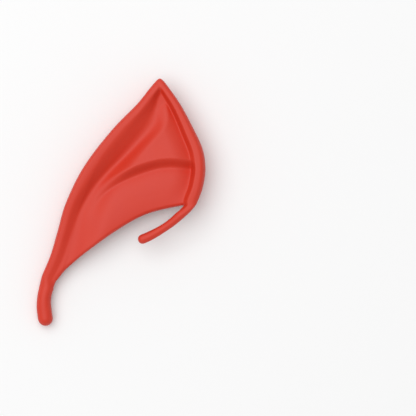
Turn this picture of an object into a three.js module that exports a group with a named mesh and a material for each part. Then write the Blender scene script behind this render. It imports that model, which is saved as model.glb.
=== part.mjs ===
import * as THREE from "three";

const { lerp, clamp, smoothstep, degToRad } = THREE.MathUtils;

// Sizes in millimetres. The ear tip lies on its back, with the front face up,
// the tip towards +Y and the front rim on the +X side.

// Rubber skin
const WALL = 1.5;
const ROOF_WALL = 1.7; // measured straight down, so that slopes keep their thickness
const HELIX_EXTRA = 0.8; // sideways share of the wall under the slope inside the helix
const MOUTH_SETBACK = 0.075; // share of the length by which the back wall stops short of the front
const MOUTH_BOW = 1.3; // how soon the mouth's curve fades out on the way to the tip
const INNER_END = 0.86; // share of the length where the pocket ends below the tip
const LEAST_POCKET = 0.4; // half the height of the pocket where it is lowest
const INNER_INSET = 1.1; // inset of the pocket's columns, in walls
const POCKET_ROUNDING = 2; // width of the rounding at the pocket's sides, in walls

// Rows and columns of the skin
const ROWS = 38;
const TIP_LEVEL = 0.99; // last row, round the very tip
const ROW_BUNCHING = 1.1; // above 1, the rows lie closer near the mouth
const MIDDLE_COLUMNS = { front: 14, back: 7 }; // between the rims
const RIM_STEPS = [0, 0.12, 0.45, 1]; // columns from the edge to a rim's crest
const DROP_STEPS = [0, 0.18, 0.45, 1]; // columns down a rim's inner slope
const BACK_STEPS = [0, 0.7, 2.4, 5.2, 9]; // columns of the back wall, from the edge
const TAIL_CORNER = 7.25; // width of the helix side that runs on into the back tail
const CORNER_GAP = { mouth: 0.8, middle: 3.0, until: 0.5 }; // from the helix's foot to the next column
const BRIDGE_STEPS = 5; // stations between the mouth and a tail
const BRIDGE_START = 0.7; // how far a tail keeps the direction of the shell's skin
const TAIL_STEP = 2.2;
const HELIX_SAMPLES = 160; // points on each edge from which distances are taken
const FRONT_SAMPLES = 120;
const MOUTH_SAMPLES = 120;
const PROBE_SHARE = 0.04; // share of the width where the slant of an edge is measured
const LEAST_REACH = 0.3; // least width that a rim's columns are shared out over
const WIDEST_ZONE = 0.42; // most of the width that the columns of one rim take up
const SETBACK_RUN = 0.12; // share of the width over which the back wall's setback grows

/** Rows of numbers turned into objects with named columns. */
const table = (columns, ...rows) =>
  rows.map((row) => Object.fromEntries(columns.map((name, k) => [name, row[k]])));

// Outline of the back edge (helix), from the back tail up to the tip
const HELIX_EDGE = table(
  ["x", "y"],
  [-34.7, -31.8],
  [-31.0, -23.0],
  [-27.9, -12.6],
  [-24.1, 0.1],
  [-16.2, 15.8],
  [-4.1, 31.6],
  [7.2, 43.2],
  [12.6, 49.9],
  [15.9, 53.7],
  [17.2, 54.5],
);
// Outline of the front edge, from the front tail up to the same tip
const FRONT_EDGE = table(
  ["x", "y"],
  [33.7, -0.2],
  [36.1, 6.0],
  [37.4, 14.5],
  [36.2, 23.2],
  [32.3, 32.0],
  [26.5, 42.8],
  [21.3, 50.3],
  [18.6, 53.7],
  [17.2, 54.5],
);
// Mouth edge of the front wall, from the back tail to the front tail
const MOUTH_EDGE = table(
  ["x", "y"],
  [-28.0, -34.6],
  [-26.2, -31.8],
  [-23.6, -29.0],
  [-14.2, -21.2],
  [0.9, -10.7],
  [12.8, -4.7],
  [27.6, -1.3],
);
// Upper lip of the steep fold that crosses the front wall
const FOLD_LIP = table(
  ["x", "y"],
  [-16.4, -4.0],
  [-13.4, 2.2],
  [-9.3, 7.2],
  [-2.0, 12.2],
  [6.1, 15.8],
  [14.9, 18.6],
  [22.2, 19.4],
  [30.9, 18.6],
  [38.0, 17.4],
);

// Heights of the section at shares of the length from the mouth to the tip.
// Edge: the outline. Crest: top of a rim. Scapha: bottom of the long slope inside the helix.
// Inset: from the edge to the crest. Flat: width of the crest. Foot: from the edge to the
// scapha. Reach: to where the floor has the middle's height, from the helix edge or from the
// end of the front crest. Drop: width of the slope inside the front rim.
const SECTIONS = table(
  ["at", "helixEdge", "helixCrest", "helixInset", "helixFlat", "scapha", "scaphaFoot", "scaphaReach",
    "middle", "frontFloor", "frontReach", "frontCrest", "frontEdge", "frontInset", "frontFlat",
    "frontDrop", "back"],
  [0.0, 4.2, 7.6, 1.5, 0.8, 6.8, 5.4, 20.0, 12.0, 12.2, 9.0, 14.6, 12.6, 2.4, 1.5, 2.3, -1.2],
  [0.12, 5.4, 9.2, 1.5, 0.9, 8.0, 6.2, 20.0, 12.8, 12.0, 9.0, 14.9, 11.4, 2.5, 1.7, 2.4, -1.4],
  [0.25, 6.8, 10.8, 1.5, 1.0, 9.0, 7.0, 19.0, 13.4, 11.9, 9.0, 15.0, 10.8, 2.5, 1.8, 2.4, -1.4],
  [0.37, 8.0, 12.4, 1.5, 1.2, 9.7, 8.6, 18.0, 13.4, 11.6, 9.0, 14.8, 10.8, 2.4, 1.8, 2.4, -1.0],
  [0.5, 9.2, 13.6, 1.5, 1.4, 10.1, 11.6, 17.2, 13.0, 11.2, 9.0, 14.5, 10.8, 2.2, 1.6, 2.4, 0.2],
  [0.63, 10.0, 14.2, 1.5, 1.4, 10.3, 11.0, 15.8, 12.9, 10.8, 8.6, 14.1, 10.8, 1.9, 1.4, 2.2, 1.6],
  [0.76, 10.4, 14.0, 1.5, 1.3, 10.4, 7.8, 11.2, 12.8, 10.4, 7.2, 13.5, 10.8, 1.6, 1.2, 2.1, 3.4],
  [0.88, 10.4, 13.2, 1.4, 1.2, 10.8, 5.2, 7.0, 12.5, 10.7, 5.0, 12.8, 10.5, 1.5, 1.0, 1.8, 5.6],
  [1.0, 10.2, 11.9, 1.3, 1.1, 11.4, 3.4, 4.2, 11.8, 11.4, 2.6, 11.9, 10.2, 1.3, 1.0, 1.2, 8.6],
);
const SLOPE_ROUND = { crest: 0.35, foot: 0.25 }; // shares of a rim's inner slope that are rounded
const GROOVE_POWER = 1.6; // above 1, the front groove is steepest beside its rim
const SHOULDER = 22; // width of the rounding between the back wall and the edge
const MOUTH_ROLL = { depth: 1.6, run: 1.5, inner: 0.6 }; // the mouth's edge rolls down, the pocket's less

const LIP = { height: 1.0, run: 5.5 }; // rise of the fold's lip over the wall above it
const FOLD_FACE = 4.2; // width of the steep face below the lip
const FOLD_FOOT = { depth: 2.4, run: 6.0 }; // fall at the face's foot, under the swell below it
const FOLD_ROUNDING = 0.5; // 0 for a straight face, 1 for one rounded at both ends
const SLOPE_STEP = 0.5; // half the run over which the slant of the fold is measured
const FOLD_START = { from: -17, to: -8 }; // the fold grows out of the wall between these X

// Tails: middle line, size of the round section, and how far it is still a gutter
const BACK_TAIL = table(
  ["x", "y", "z", "width", "depth", "gutter"],
  [-33.0, -38.2, 3.8, 6.5, 7.0, 1],
  [-33.7, -41.0, 3.8, 6.3, 6.9, 1],
  [-34.0, -44.0, 3.7, 6.4, 6.8, 1],
  [-33.9, -47.0, 3.6, 6.7, 6.6, 1],
  [-33.4, -51.0, 3.5, 6.6, 6.4, 0],
  [-33.0, -54.5, 3.4, 6.4, 6.2, 0],
);
const FRONT_TAIL = table(
  ["x", "y", "z", "width", "depth", "gutter"],
  [25.7, -6.1, 12.9, 3.9, 4.1, 0],
  [22.8, -8.6, 12.3, 3.7, 3.9, 0],
  [19.3, -11.1, 11.6, 3.6, 3.8, 0],
  [15.1, -13.6, 10.9, 3.9, 4.0, 0],
  [11.3, -15.5, 10.3, 4.2, 4.2, 0],
  [7.7, -16.9, 9.8, 4.2, 4.2, 0],
);
// Columns of the skin that run on into each tail, and the part of its section they cover.
// Corner: the strand at the mouth's corner, as a share of them, and where the mouth's edge heads.
const BACK_STRANDS = {
  front: 8, back: 3, angles: [300, 262, 222, 180, 165, 138, 108, 90, 77, 60, 34, 4],
  corner: { at: 1, heading: new THREE.Vector3(-0.54, -0.84, 0) },
};
const FRONT_STRANDS = {
  front: 7, back: 2, angles: [205, 180, 148, 130, 95, 60, 30, 0, -22, -48],
  corner: { at: 0, heading: new THREE.Vector3(-0.62, -0.78, 0) },
};
const CORNER_POWER = 2.5; // how soon the other strands stop following the mouth's edge
const END_ROUNDING = [25, 50, 72, 88]; // angles of the sections that round off a tail's end

/** Smooth rise from 0 to 1. */
const ease = (t) => t * t * (3 - 2 * t);

/** Value of one column of a table at a place between its rows. */
function between(rows, column, at) {
  const slope = (k) => {
    const a = rows[Math.max(k - 1, 0)];
    const b = rows[Math.min(k + 1, rows.length - 1)];
    return (b[column] - a[column]) / (b.at - a.at);
  };
  const k = clamp(rows.findIndex((row) => row.at >= at) - 1, 0, rows.length - 2);
  const [low, high] = [rows[k], rows[k + 1]];
  const span = high.at - low.at;
  const t = clamp((at - low.at) / span, 0, 1);
  const rise = ease(t);
  return (
    low[column] * (1 - rise) + high[column] * rise +
    slope(k) * span * t * (1 - t) ** 2 - slope(k + 1) * span * t * t * (1 - t)
  );
}

const section = (at) =>
  Object.fromEntries(Object.keys(SECTIONS[0]).map((name) => [name, between(SECTIONS, name, at)]));

const spline = (points) => new THREE.SplineCurve(points.map(({ x, y }) => new THREE.Vector2(x, y)));

const helixEdge = spline(HELIX_EDGE);
const frontEdge = spline(FRONT_EDGE);
const mouthEdge = spline(MOUTH_EDGE);
const helixSamples = helixEdge.getSpacedPoints(HELIX_SAMPLES);
const frontSamples = frontEdge.getSpacedPoints(FRONT_SAMPLES);
const mouthSamples = mouthEdge.getSpacedPoints(MOUTH_SAMPLES);

/** Distance from a place to a line of sampled points. */
function distanceTo(samples, place) {
  const chord = new THREE.Line3();
  const nearest = new THREE.Vector3();
  const from = new THREE.Vector3(place.x, place.y, 0);
  let least = Infinity;
  for (let k = 1; k < samples.length; k++) {
    chord.start.set(samples[k - 1].x, samples[k - 1].y, 0);
    chord.end.set(samples[k].x, samples[k].y, 0);
    chord.closestPointToPoint(from, true, nearest);
    least = Math.min(least, nearest.distanceTo(from));
  }
  return least;
}

/** Rise of a quarter of a circle, from 0 at the edge to 1 at the crest. */
const quarter = (share) => Math.sqrt(1 - (1 - clamp(share, 0, 1)) ** 2);

/** Height that the crossing fold adds to the front wall: up to its lip, then down its face. */
function foldAt(place) {
  const rows = FOLD_LIP.map(({ x, y }) => ({ at: x, y }));
  const line = (x) => between(rows, "y", clamp(x, rows[0].at, rows.at(-1).at));
  const slope = (line(place.x + SLOPE_STEP) - line(place.x - SLOPE_STEP)) / (2 * SLOPE_STEP);
  const above = (place.y - line(place.x)) / Math.hypot(1, slope);
  const lip = LIP.height * Math.exp(-Math.max(above, 0) / LIP.run);
  const foot = -FOLD_FOOT.depth * Math.exp(Math.min(above + FOLD_FACE, 0) / FOLD_FOOT.run);
  const share = clamp(-above / FOLD_FACE, 0, 1);
  const down = lerp(share, ease(share), FOLD_ROUNDING);
  return lerp(lip, foot, down) * smoothstep(place.x, FOLD_START.from, FOLD_START.to);
}

/** Where each rim's inner slope starts, as a distance from its edge, and how wide it is. */
function slopes(s) {
  const helixEnd = s.helixInset + s.helixFlat;
  return {
    helix: { start: helixEnd, drop: s.scaphaFoot - helixEnd },
    front: { start: s.frontInset + s.frontFlat, drop: s.frontDrop },
  };
}

/** How much of a rim stands over a place: 1 on its crest, 0 past the foot of its slope. */
function rimAt(distance, { start, drop }) {
  const { crest, foot } = SLOPE_ROUND;
  const down = clamp((distance - start) / drop, 0, 1);
  const steepness = 2 / (2 - crest - foot);
  if (down < crest) return 1 - (steepness * down ** 2) / (2 * crest);
  if (down > 1 - foot) return (steepness * (1 - down) ** 2) / (2 * foot);
  return 1 - steepness * (down - crest / 2);
}

/** Top of the front wall, with each rim made slimmer by an allowance. */
function frontTop(place, s, a, b, helixExtra = 0, frontExtra = 0) {
  const { helix, front } = slopes(s);
  const inScapha = 1 - smoothstep(a, s.scaphaFoot, s.scaphaReach);
  const fromFront = clamp((b - front.start - front.drop) / (s.frontReach - front.drop), 0, 1);
  const inFront = (1 - fromFront) ** GROOVE_POWER;
  const floor = s.middle + (s.scapha - s.middle) * inScapha + (s.frontFloor - s.middle) * inFront;
  const low = Math.max(floor, Math.min(s.scapha, s.frontFloor)) + foldAt(place) * (1 - inScapha);
  const onHelix = rimAt(a + helixExtra, helix);
  const onFront = rimAt(b + frontExtra, front);
  const onRim = 1 - (1 - onHelix) * (1 - onFront);
  if (onRim === 0) return low;
  const crest = (s.helixCrest * onHelix + s.frontCrest * onFront) / (onHelix + onFront);
  return lerp(low, crest, onRim);
}

const FIRST = helixEdge.getPoint(0);
const LAST = frontEdge.getPoint(0);
const WIDTH = FIRST.distanceTo(LAST);
const MOUTH_LEFT = mouthEdge.getPoint(0).distanceTo(FIRST) / WIDTH;
const MOUTH_RIGHT = 1 - mouthEdge.getPoint(1).distanceTo(LAST) / WIDTH;

/** Lower end of the skin: across the back tail, along the mouth and across the front tail. */
function mouthAt(share) {
  if (share < MOUTH_LEFT) return FIRST.clone().lerp(mouthEdge.getPoint(0), share / MOUTH_LEFT);
  if (share > MOUTH_RIGHT) {
    return mouthEdge.getPoint(1).lerp(LAST, (share - MOUTH_RIGHT) / (1 - MOUTH_RIGHT));
  }
  return mouthEdge.getPointAt((share - MOUTH_LEFT) / (MOUTH_RIGHT - MOUTH_LEFT));
}

/** Place across the ear tip, seen from the front, at a share of the length and of the width. */
function across(at, share) {
  const bow = mouthAt(share).sub(FIRST.clone().lerp(LAST, share)).multiplyScalar((1 - at) ** MOUTH_BOW);
  return helixEdge.getPointAt(at).lerp(frontEdge.getPointAt(at), share).add(bow);
}

/** How far the front wall rolls down beside the mouth's edge. */
const rolledAt = (place) =>
  MOUTH_ROLL.depth * (1 - quarter(distanceTo(mouthSamples, place) / MOUTH_ROLL.run));

/** Height of the outer skin on one side of the shell. */
function outerHeight(place, at, share, back) {
  const s = section(at);
  const a = distanceTo(helixSamples, place);
  const b = distanceTo(frontSamples, place);
  const edge = lerp(s.helixEdge, s.frontEdge, share);
  if (back) {
    const width = Math.min(SHOULDER, (a + b) / 2);
    const depth = quarter(a / width) * quarter(b / width);
    return Math.max(0, edge + (s.back - edge) * depth);
  }
  const rise = quarter(a / s.helixInset) * quarter(b / s.frontInset);
  return edge + (frontTop(place, s, a, b) - rolledAt(place) - edge) * rise;
}

/** Heights of the pocket's floor and roof, one wall inside the outer skin. */
function innerHeight(place, at, share, back) {
  const s = section(at);
  const a = distanceTo(helixSamples, place);
  const b = distanceTo(frontSamples, place);
  const rolled = rolledAt(place) * MOUTH_ROLL.inner;
  const roof = frontTop(place, s, a, b, HELIX_EXTRA, WALL) - ROOF_WALL - rolled;
  const floor = outerHeight(place, at, share, true) + WALL;
  const middle = (roof + floor) / 2;
  const half = Math.max((roof - floor) / 2, LEAST_POCKET);
  const rounding = POCKET_ROUNDING * WALL;
  const round = quarter((a - WALL) / rounding) * quarter((b - WALL) / rounding);
  return back ? middle - half * round : middle + half * round;
}

/** Distances of the front wall's outermost columns from the edge that they follow. */
function rimColumns(inset, { start, drop }) {
  return [
    ...RIM_STEPS.map((step) => step * inset),
    ...DROP_STEPS.map((step) => start + step * drop),
  ];
}

/** Distance from the helix of the next column past its slope: the tail's corner at the mouth. */
function cornerColumn(at, foot) {
  const gap = lerp(CORNER_GAP.mouth, CORNER_GAP.middle, clamp(at / CORNER_GAP.until, 0, 1));
  return Math.max(TAIL_CORNER, foot + gap);
}

/** Shares of the width where the columns of one side of the shell lie, from helix to front rim. */
function columnShares(at, back, inner) {
  const s = section(at);
  const width = across(at, 0).distanceTo(across(at, 1));
  const crossing = (samples, share) => distanceTo(samples, across(at, share)) / PROBE_SHARE;
  const inset = inner ? WALL * INNER_INSET : 0;
  const zone = (distances, samples, share) => {
    const reach = Math.max(crossing(samples, share), width * LEAST_REACH);
    const squeeze = 1 - (2 * inset) / distances.at(-1);
    const shares = distances.map((distance) => (inset + distance * squeeze) / reach);
    const last = shares.at(-1);
    return last > WIDEST_ZONE ? shares.map((value) => (value * WIDEST_ZONE) / last) : shares;
  };
  const { helix, front } = slopes(s);
  const helixColumns = [...rimColumns(s.helixInset, helix), cornerColumn(at, s.scaphaFoot)];
  const left = zone(back ? BACK_STEPS : helixColumns, helixSamples, PROBE_SHARE);
  const right = zone(back ? BACK_STEPS : rimColumns(s.frontInset, front), frontSamples, 1 - PROBE_SHARE);
  const count = back ? MIDDLE_COLUMNS.back : MIDDLE_COLUMNS.front;
  const [from, to] = [left.at(-1), 1 - right.at(-1)];
  const middle = Array.from({ length: count }, (_, k) => lerp(from, to, (k + 1) / (count + 1)));
  return [...left, ...middle, ...right.toReversed().map((share) => 1 - share)];
}

/** How far up the back wall starts, in shares of the length. */
const setback = (share) => MOUTH_SETBACK * smoothstep(Math.min(share, 1 - share), 0, SETBACK_RUN);

/** Points of one side of a row, from helix to front rim. */
function sidePoints(at, back, inner) {
  return columnShares(at, back, inner).map((share) => {
    const here = back ? lerp(setback(share), 1, at) : at;
    const place = across(here, share);
    const height = inner ? innerHeight : outerHeight;
    return new THREE.Vector3(place.x, place.y, height(place, here, share, back));
  });
}

/** One row of the skin: over the front wall, then back over the back wall. */
function ring(at, inner) {
  const front = sidePoints(at, false, inner);
  const back = sidePoints(at, true, inner).reverse();
  return [...front, ...back.slice(1, -1)];
}

/** Point on a tail's section: an angle on its oval, less a wall if it is on the gutter's inside. */
function onOval({ width, depth }, degrees, less = 0) {
  const angle = degToRad(degrees);
  return new THREE.Vector2(
    (width / 2 - less) * Math.cos(angle),
    (depth / 2 - less) * Math.sin(angle),
  );
}

/** Outer and inner strands of a tail at one station of its middle line. */
function tailSection(row, heading, angles) {
  const side = new THREE.Vector3(-heading.y, heading.x, 0).normalize();
  const at = new THREE.Vector3(row.x, row.y, row.z);
  const place = (oval) => at.clone().addScaledVector(side, oval.x).add(new THREE.Vector3(0, 0, oval.y));
  const [first, last] = [angles[0], angles.at(-1) + 360];
  const outer = angles.map((angle) => place(onOval(row, angle)));
  const inner = angles.map((angle, k) => {
    const closed = onOval(row, lerp(first, last, k / (angles.length - 1)));
    return place(closed.lerp(onOval(row, angle, WALL), row.gutter));
  });
  return { outer, inner };
}

/** Stations of a tail: bridges from the mouth's strands to its first section, then its length. */
function tailStations(rows, { angles, corner }, start, before) {
  const lines = rows.map((row, k) => ({ at: k, ...row }));
  const names = Object.keys(rows[0]);
  const value = (t) => Object.fromEntries(names.map((name) => [name, between(lines, name, t)]));
  const path = new THREE.CatmullRomCurve3(rows.map((row) => new THREE.Vector3(row.x, row.y, row.z)));
  const end = rows.at(-1);
  const radius = end.width / 2;
  const length = path.getLength();
  const stations = [];
  const run = Math.round((length - radius) / TAIL_STEP);
  for (let k = 0; k <= run; k++) stations.push(((length - radius) * k) / run);
  const shrink = stations.map(() => 1);
  for (const angle of END_ROUNDING) {
    stations.push(length - radius + radius * Math.sin(degToRad(angle)));
    shrink.push(Math.cos(degToRad(angle)));
  }
  const sections = stations.map((distance, k) => {
    const t = path.getUtoTmapping(distance / length);
    const point = path.getPoint(t);
    const row = { ...value(t * (rows.length - 1)), x: point.x, y: point.y, z: point.z };
    row.width *= shrink[k];
    row.depth *= shrink[k];
    row.gutter = clamp(row.gutter, 0, 1);
    return tailSection(row, path.getTangent(t), angles);
  });
  const heading = path.getTangent(0);
  const bridge = (from, previous, to, k) => {
    const reach = from.distanceTo(to);
    const pull = (1 - Math.abs(corner.at - k / (angles.length - 1))) ** CORNER_POWER;
    const leave = from.clone().sub(previous).normalize().lerp(corner.heading, pull);
    leave.setLength(reach * BRIDGE_START);
    const arrive = heading.clone().multiplyScalar(reach);
    return Array.from({ length: BRIDGE_STEPS - 1 }, (_, step) => {
      const t = (step + 1) / BRIDGE_STEPS;
      const rise = ease(t);
      return from.clone().multiplyScalar(1 - rise).addScaledVector(to, rise)
        .addScaledVector(leave, t * (1 - t) ** 2).addScaledVector(arrive, -t * t * (1 - t));
    });
  };
  const bridges = (skin) =>
    start[skin].map((point, k) => bridge(point, before[skin][k], sections[0][skin][k], k));
  const [outer, inner] = [bridges("outer"), bridges("inner")];
  const joins = Array.from({ length: BRIDGE_STEPS - 1 }, (_, k) => ({
    outer: outer.map((strand) => strand[k]),
    inner: inner.map((strand) => strand[k]),
  }));
  return [...joins, ...sections];
}

/** Collects the points and four-sided faces of one closed skin. */
class Skin {
  constructor() {
    this.positions = [];
    this.faces = [];
  }
  add(point) {
    this.positions.push(point.x, point.y, point.z);
    return this.positions.length / 3 - 1;
  }
  row(points) {
    return points.map((point) => this.add(point));
  }
  quad(a, b, c, d) {
    this.faces.push(a, b, c, a, c, d);
  }
  /** Faces between two rows of points, turned over for the inside of the skin. */
  strip(low, high, closed, inside = false) {
    const count = low.length;
    for (let k = 0; k < (closed ? count : count - 1); k++) {
      const next = (k + 1) % count;
      if (inside) this.quad(low[next], low[k], high[k], high[next]);
      else this.quad(low[k], low[next], high[next], high[k]);
    }
  }
  fan(row, centre, inside = false) {
    row.forEach((here, k) => {
      const next = row[(k + 1) % row.length];
      this.faces.push(...(inside ? [next, here, centre] : [here, next, centre]));
    });
  }
  geometry() {
    const geometry = new THREE.BufferGeometry();
    geometry.setAttribute("position", new THREE.Float32BufferAttribute(this.positions, 3));
    geometry.setIndex(this.faces);
    geometry.computeVertexNormals();
    return geometry;
  }
}

/** Whole ear tip: shell with its pocket, and the two tails that run on from its mouth. */
function earTip() {
  const skin = new Skin();
  const frontColumns = columnShares(0, false).length - 1;
  const levels = Array.from({ length: ROWS }, (_, k) => (k / ROWS) ** ROW_BUNCHING);
  levels.push(TIP_LEVEL);
  const outerPoints = levels.map((at) => ring(at, false));
  const innerLevels = levels.filter((at) => at < INNER_END);
  const innerPoints = innerLevels.map((at) => ring(at, true));
  const count = outerPoints[0].length;
  const outer = outerPoints.map((row) => skin.row(row));
  const inner = innerPoints.map((row) => skin.row(row));
  for (let k = 1; k < outer.length; k++) skin.strip(outer[k - 1], outer[k], true);
  for (let k = 1; k < inner.length; k++) skin.strip(inner[k - 1], inner[k], true, true);
  const tip = helixEdge.getPoint(1);
  skin.fan(outer.at(-1), skin.add(new THREE.Vector3(tip.x, tip.y, SECTIONS.at(-1).helixEdge)));
  const last = innerPoints.at(-1);
  const middle = last.reduce((sum, point) => sum.add(point), new THREE.Vector3()).divideScalar(count);
  skin.fan(inner.at(-1), skin.add(middle), true);

  const wrap = (k) => (k + count) % count;
  const runs = [
    { rows: BACK_TAIL, strands: BACK_STRANDS, first: -BACK_STRANDS.back, last: BACK_STRANDS.front },
    {
      rows: FRONT_TAIL, strands: FRONT_STRANDS,
      first: frontColumns - FRONT_STRANDS.front, last: frontColumns + FRONT_STRANDS.back,
    },
  ];
  const inTail = new Set();
  for (const { rows, strands, first, last: end } of runs) {
    const picks = Array.from({ length: end - first + 1 }, (_, k) => wrap(first + k));
    picks.slice(0, -1).forEach((k) => inTail.add(k));
    const pick = (row) => picks.map((k) => row[k]);
    const start = { outer: pick(outerPoints[0]), inner: pick(innerPoints[0]) };
    const before = { outer: pick(outerPoints[1]), inner: pick(innerPoints[1]) };
    let above = { outer: pick(outer[0]), inner: pick(inner[0]) };
    for (const station of tailStations(rows, strands, start, before)) {
      const below = { outer: skin.row(station.outer), inner: skin.row(station.inner) };
      skin.strip(below.outer, above.outer, false);
      skin.strip(below.inner, above.inner, false, true);
      skin.quad(below.outer[0], above.outer[0], above.inner[0], below.inner[0]);
      const n = picks.length - 1;
      skin.quad(above.outer[n], below.outer[n], below.inner[n], above.inner[n]);
      above = below;
    }
    skin.strip(above.outer.toReversed(), above.inner.toReversed(), false);
  }
  for (let k = 0; k < count; k++) {
    if (!inTail.has(k)) skin.quad(outer[0][wrap(k + 1)], outer[0][k], inner[0][k], inner[0][wrap(k + 1)]);
  }
  return skin.geometry();
}

const rubber = new THREE.MeshStandardMaterial({ color: "#d1483b", roughness: 0.5, metalness: 0 });

const group = new THREE.Group();
const ear = new THREE.Mesh(earTip(), rubber);
ear.name = "ear_tip";
group.add(ear);

export default group;
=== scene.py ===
"""Looks of the elf ear tip: its moulded latex skin, a pale floor, soft frontal light and the camera."""

import logging
import math
from dataclasses import dataclass, field
from enum import Enum
from functools import cached_property

import bmesh
import bpy
import numpy as np
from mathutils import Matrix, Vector


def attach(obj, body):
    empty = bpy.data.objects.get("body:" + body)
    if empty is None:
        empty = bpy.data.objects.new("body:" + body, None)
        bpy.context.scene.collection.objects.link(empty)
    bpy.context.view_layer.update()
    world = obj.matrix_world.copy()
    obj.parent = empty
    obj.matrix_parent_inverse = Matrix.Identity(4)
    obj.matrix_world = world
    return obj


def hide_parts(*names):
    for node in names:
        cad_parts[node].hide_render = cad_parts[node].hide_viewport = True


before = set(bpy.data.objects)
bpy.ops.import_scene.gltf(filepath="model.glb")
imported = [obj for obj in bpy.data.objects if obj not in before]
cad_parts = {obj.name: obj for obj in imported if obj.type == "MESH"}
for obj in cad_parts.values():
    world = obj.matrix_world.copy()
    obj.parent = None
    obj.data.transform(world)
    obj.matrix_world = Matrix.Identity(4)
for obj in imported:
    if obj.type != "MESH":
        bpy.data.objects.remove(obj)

LOG = logging.getLogger("elf_ear_tip")
MM = 0.001
NODE = "ear_tip"
BODY = "root"
MERGE_DISTANCE = 0.002 * MM


class Wall(Enum):
    """Wall of the ear tip that a column of the skin lies on."""

    FRONT = "front"
    BACK = "back"


class Face(Enum):
    """Side of the latex: the one that is seen, or the pocket's inside."""

    OUTER = "outer"
    INNER = "inner"


def ease(share: np.ndarray) -> np.ndarray:
    """Smooth rise from 0 to 1 over shares from 0 to 1."""
    share = np.clip(share, 0.0, 1.0)
    return share * share * (3.0 - 2.0 * share)


def quarter(share: np.ndarray) -> np.ndarray:
    """Rise of a quarter of a circle, from 0 at the edge to 1 at the crest."""
    return np.sqrt(1.0 - (1.0 - np.clip(share, 0.0, 1.0)) ** 2)


def refine(values: list[float] | np.ndarray, parts: int) -> np.ndarray:
    """Splits each step of a list of numbers into equal parts.

    Args:
        values: The numbers, in order.
        parts: How many parts each step is split into.

    Returns:
        The longer list of numbers.
    """
    count = len(values)
    places = np.linspace(0, count - 1, parts * (count - 1) + 1)
    return np.interp(places, np.arange(count), values)


@dataclass(frozen=True)
class NumberTable:
    """Rows of numbers under named columns, read smoothly between the rows.

    The first column is the place that the others are read at.
    """

    columns: tuple[str, ...]
    rows: tuple[tuple[float, ...], ...]

    def column(self, name: str) -> np.ndarray:
        """Every row's number under one name."""
        return np.array([row[self.columns.index(name)] for row in self.rows])

    def read(self, name: str, at: np.ndarray | float) -> np.ndarray:
        """Reads one column between its rows.

        Args:
            name: The column.
            at: Places along the table's first column.

        Returns:
            One number for each place.
        """
        places, values = self.column(self.columns[0]), self.column(name)
        last = len(places) - 1
        low, high = np.maximum(np.arange(last + 1) - 1, 0), np.minimum(np.arange(last + 1) + 1, last)
        slopes = (values[high] - values[low]) / (places[high] - places[low])
        k = np.clip(np.searchsorted(places, at) - 1, 0, last - 1)
        span = places[k + 1] - places[k]
        t = np.clip((at - places[k]) / span, 0.0, 1.0)
        rise = ease(t)
        bend = slopes[k] * t * (1 - t) ** 2 - slopes[k + 1] * t * t * (1 - t)
        return values[k] * (1 - rise) + values[k + 1] * rise + bend * span


@dataclass
class SmoothLine:
    """Smooth line through a short list of places, read by share of its length."""

    places: tuple[tuple[float, ...], ...]
    samples_per_span: int = 40

    @cached_property
    def samples(self) -> np.ndarray:
        """Close points along the line."""
        points = np.array(self.places)
        last = len(points) - 1
        t = np.linspace(0, last, last * self.samples_per_span + 1)
        k = np.minimum(t.astype(int), last - 1)
        w = (t - k)[:, None]
        before, after = points[np.maximum(k - 1, 0)], points[np.minimum(k + 2, last)]
        start, end = points[k], points[k + 1]
        leave, arrive = (end - before) / 2, (after - start) / 2
        return (
            (2 * start - 2 * end + leave + arrive) * w**3
            + (-3 * start + 3 * end - 2 * leave - arrive) * w**2
            + leave * w
            + start
        )

    @cached_property
    def lengths(self) -> np.ndarray:
        """Length of the line up to each of its points."""
        steps = np.linalg.norm(np.diff(self.samples, axis=0), axis=1)
        return np.concatenate([[0.0], np.cumsum(steps)])

    def point(self, share: np.ndarray | float) -> np.ndarray:
        """Points at shares of the line's length."""
        reach = np.atleast_1d(share) * self.lengths[-1]
        return np.stack([np.interp(reach, self.lengths, axis) for axis in self.samples.T], axis=-1)

    def parameter(self, share: np.ndarray | float) -> np.ndarray:
        """Shares of the length turned into the number of the place, counted from 0."""
        numbers = np.arange(len(self.samples)) / self.samples_per_span
        return np.interp(np.atleast_1d(share) * self.lengths[-1], self.lengths, numbers)

    def heading(self, share: float, step: float = 0.004) -> np.ndarray:
        """Direction of the line at one share of its length."""
        ends = self.point(np.clip([share - step, share + step], 0.0, 1.0))
        run = ends[1] - ends[0]
        return run / np.linalg.norm(run)

    def distance(self, places: np.ndarray) -> np.ndarray:
        """Distance of each place from the line.

        Args:
            places: Places, one a row.

        Returns:
            One distance for each place.
        """
        start, run = self.samples[:-1], np.diff(self.samples, axis=0)
        away = places[:, None, :] - start[None]
        along = np.clip((away * run).sum(-1) / (run * run).sum(-1), 0.0, 1.0)
        return np.linalg.norm(away - along[..., None] * run, axis=-1).min(axis=1)


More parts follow.
